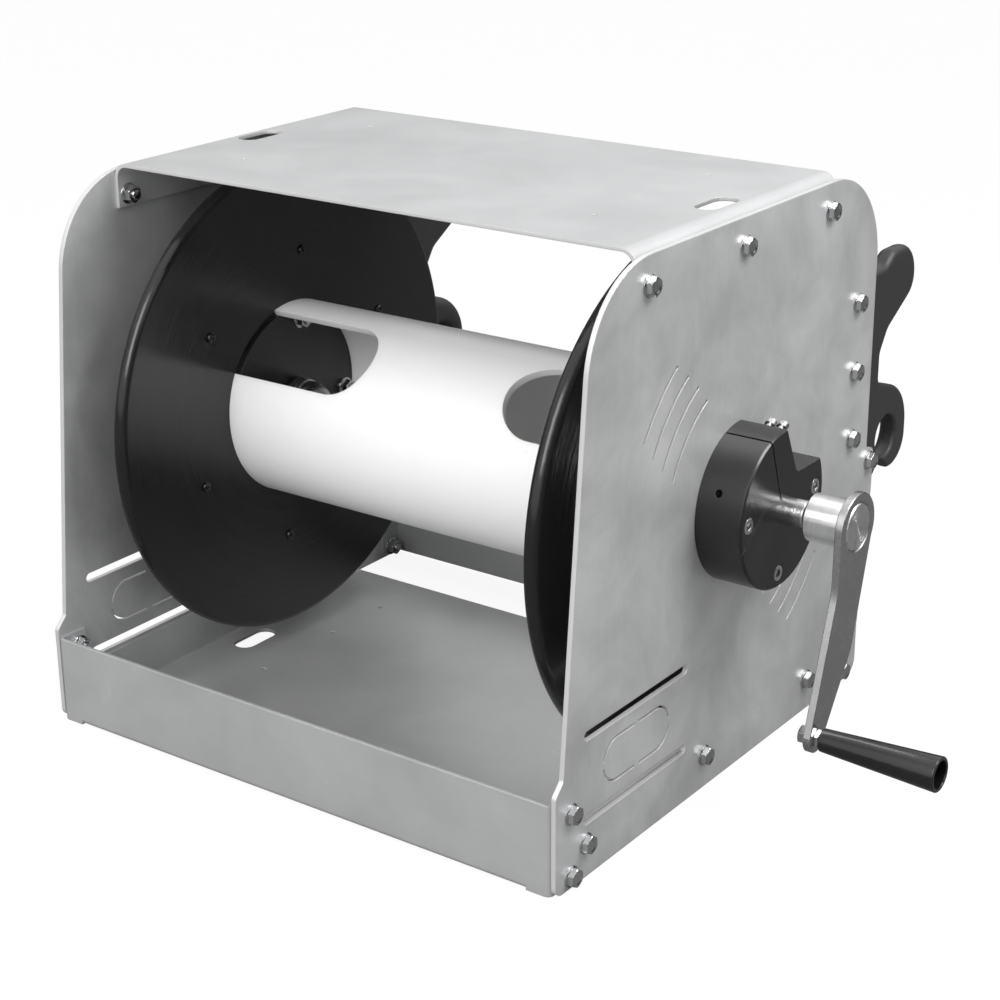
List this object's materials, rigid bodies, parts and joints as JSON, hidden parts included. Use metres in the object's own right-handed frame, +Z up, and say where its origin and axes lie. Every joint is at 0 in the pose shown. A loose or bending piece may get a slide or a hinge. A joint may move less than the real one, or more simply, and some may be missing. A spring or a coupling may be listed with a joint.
{
  "type": "hand cranked hose reel",
  "caption": "Hand-cranked hose reel: a flanged drum on a hollow axle and a braked shaft, in a folded sheet frame with hook plates, water swivel and crank.",
  "frame": {"origin": "on the underside of the base tray, at mid width, straight below the drum's axis", "axes": "+X along the drum's axis towards the crank, -Y towards the front lip, +Z up"},
  "size_m": [0.7907, 0.5446, 0.4517],
  "materials": {
    "sheet_aluminium": "mill finish, lightly brushed",
    "black_plastic": "satin moulded and machined plastic",
    "white_pipe": "smooth extruded pipe",
    "plated_steel": "zinc plated",
    "black_screw": "black oxide",
    "bright_steel": "turned and polished",
    "grip_plastic": "satin",
    "seal_rubber": "smooth",
    "fitting_steel": "cast and machined"
  },
  "bodies": {
    "frame": {"right_side_plate": "sheet_aluminium", "left_side_plate": "sheet_aluminium", "top_plate": "sheet_aluminium", "base_tray": "sheet_aluminium", "rear_cross_member": "sheet_aluminium", "right_hook_plate": "black_plastic", "left_hook_plate": "black_plastic", "top_plate_bolts": "plated_steel", "top_plate_nuts": "plated_steel", "tray_bolts": "plated_steel", "tray_nuts": "plated_steel", "cross_member_bolts": "plated_steel", "cross_member_nuts": "plated_steel", "hook_plate_bolts": "plated_steel", "hook_plate_nuts": "plated_steel", "brake_block": "black_plastic", "brake_clamp_jaw": "black_plastic", "brake_clamp_screws": "plated_steel", "brake_block_screws": "plated_steel", "brake_block_nuts": "plated_steel", "left_bearing_block": "black_plastic", "left_block_screws": "plated_steel", "left_block_nuts": "plated_steel"},
    "drum": {"left_flange_disc": "black_plastic", "right_flange_disc": "black_plastic", "drum_tube": "white_pipe", "left_hub_plate": "bright_steel", "right_hub_plate": "bright_steel", "left_hub_boss": "bright_steel", "right_hub_boss": "bright_steel", "left_disc_screws": "black_screw", "right_disc_screws": "black_screw", "left_disc_nuts": "plated_steel", "right_disc_nuts": "plated_steel", "left_hub_bolts": "plated_steel", "right_hub_bolts": "plated_steel", "left_hub_nuts": "plated_steel", "right_hub_nuts": "plated_steel", "hollow_axle": "fitting_steel", "axle_lock_collar": "bright_steel", "outlet_elbow": "fitting_steel", "outlet_nipple": "fitting_steel", "drive_shaft": "bright_steel", "crank_boss": "bright_steel", "crank_arm": "bright_steel", "crank_weld": "bright_steel", "handle_spindle": "plated_steel", "spindle_nuts": "plated_steel"},
    "grip": {"crank_grip": "grip_plastic"},
    "swivel": {"swivel_body": "fitting_steel", "swivel_seals": "seal_rubber", "inlet_adapter": "fitting_steel"}
  },
  "joints": [
    {"name": "drum_spin", "type": "hinge", "parent": "frame", "child": "drum", "pos_m": [0, 0, 0.229], "axis": [1, 0, 0], "continuous": true},
    {"name": "grip_spin", "type": "hinge", "parent": "drum", "child": "grip", "pos_m": [0.4, -0.049, 0.077], "axis": [1, 0, 0], "continuous": true},
    {"name": "swivel_spin", "type": "hinge", "parent": "frame", "child": "swivel", "pos_m": [-0.3177, 0, 0.229], "axis": [1, 0, 0], "continuous": true}
  ]
}
